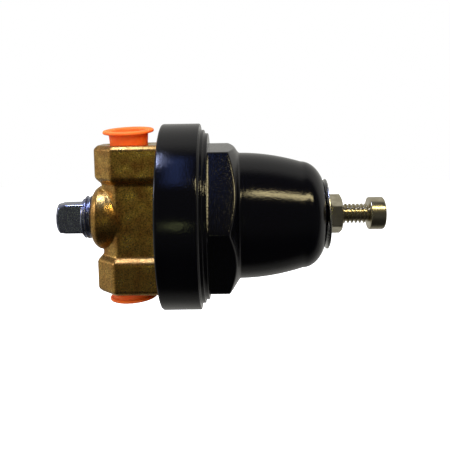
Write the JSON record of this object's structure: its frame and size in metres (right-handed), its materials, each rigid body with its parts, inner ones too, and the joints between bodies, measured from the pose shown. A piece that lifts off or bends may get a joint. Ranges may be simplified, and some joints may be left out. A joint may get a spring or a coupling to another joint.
{
  "type": "pressure regulator valve",
  "caption": "Diaphragm pressure regulator valve: brass body with capped pipe ports and a square-head plug, black spring chamber, adjusting screw with lock nut.",
  "frame": {"origin": "where the axis of the two pipe ports meets the spring axis", "axes": "+X along the spring axis from the pipe plug to the adjusting screw, +Z along the port axis out of the upper port"},
  "size_m": [0.1041, 0.0588, 0.059],
  "materials": {
    "brass": "cast and machined, dull golden brown",
    "turned_brass": "turned, bright",
    "black_enamel": "glossy black enamel with a fine orange-peel texture over a casting",
    "zinc_steel": "bluish zinc plating",
    "stainless": "turned, bright",
    "aluminium": "bare thin sheet",
    "spring_steel": "dark oiled wire",
    "rubber": "matte black nitrile",
    "fibre": "pressed fibre, matte",
    "orange_plastic": "soft satin polyethylene"
  },
  "bodies": {
    "regulator": {"valve_body": "brass", "pipe_plug": "zinc_steel", "spring_chamber": "black_enamel", "name_disc": "aluminium", "diaphragm": "rubber", "slip_ring": "turned_brass", "valve_seat": "stainless", "seat_gasket": "fibre", "stem_guide": "turned_brass", "inlet_screen": "stainless", "main_spring": "spring_steel", "return_spring": "stainless"},
    "plunger": {"valve_stem": "stainless", "diaphragm_plate": "zinc_steel", "diaphragm_nut": "turned_brass", "diaphragm_washer": "turned_brass", "poppet": "turned_brass", "poppet_disc": "rubber"},
    "button": {"spring_button": "zinc_steel", "thrust_ball": "stainless"},
    "screw": {"adjusting_screw": "stainless"},
    "nut": {"lock_nut": "stainless"},
    "upper_cap": {"upper_port_cap": "orange_plastic"},
    "lower_cap": {"lower_port_cap": "orange_plastic"}
  },
  "joints": [
    {"name": "valve_opening", "type": "slide", "parent": "regulator", "child": "plunger", "axis": [-1, 0, 0], "range_m": [0, 0.0015], "stiffness_N_per_m": 900, "deforming": ["diaphragm", "return_spring"]},
    {"name": "spring_button_travel", "type": "slide", "parent": "regulator", "child": "button", "axis": [-1, 0, 0], "range_m": [0, 0.00635], "deforming": ["main_spring"]},
    {"name": "adjusting_screw_turn", "type": "hinge", "parent": "button", "child": "screw", "pos_m": [0.07, 0, 0], "axis": [-1, 0, 0], "range_deg": [0, 1800]},
    {"name": "lock_nut_turn", "type": "hinge", "parent": "regulator", "child": "nut", "pos_m": [0.0653, 0, 0], "axis": [1, 0, 0], "range_deg": [0, 180]},
    {"name": "upper_cap_pull", "type": "slide", "parent": "regulator", "child": "upper_cap", "axis": [0, 0, 1], "range_m": [0, 0.025]},
    {"name": "lower_cap_pull", "type": "slide", "parent": "regulator", "child": "lower_cap", "axis": [0, 0, -1], "range_m": [0, 0.025]}
  ],
  "couplings": [
    {"joint": "adjusting_screw_turn", "follows": "spring_button_travel", "rad_per_m": 4947.4}
  ]
}
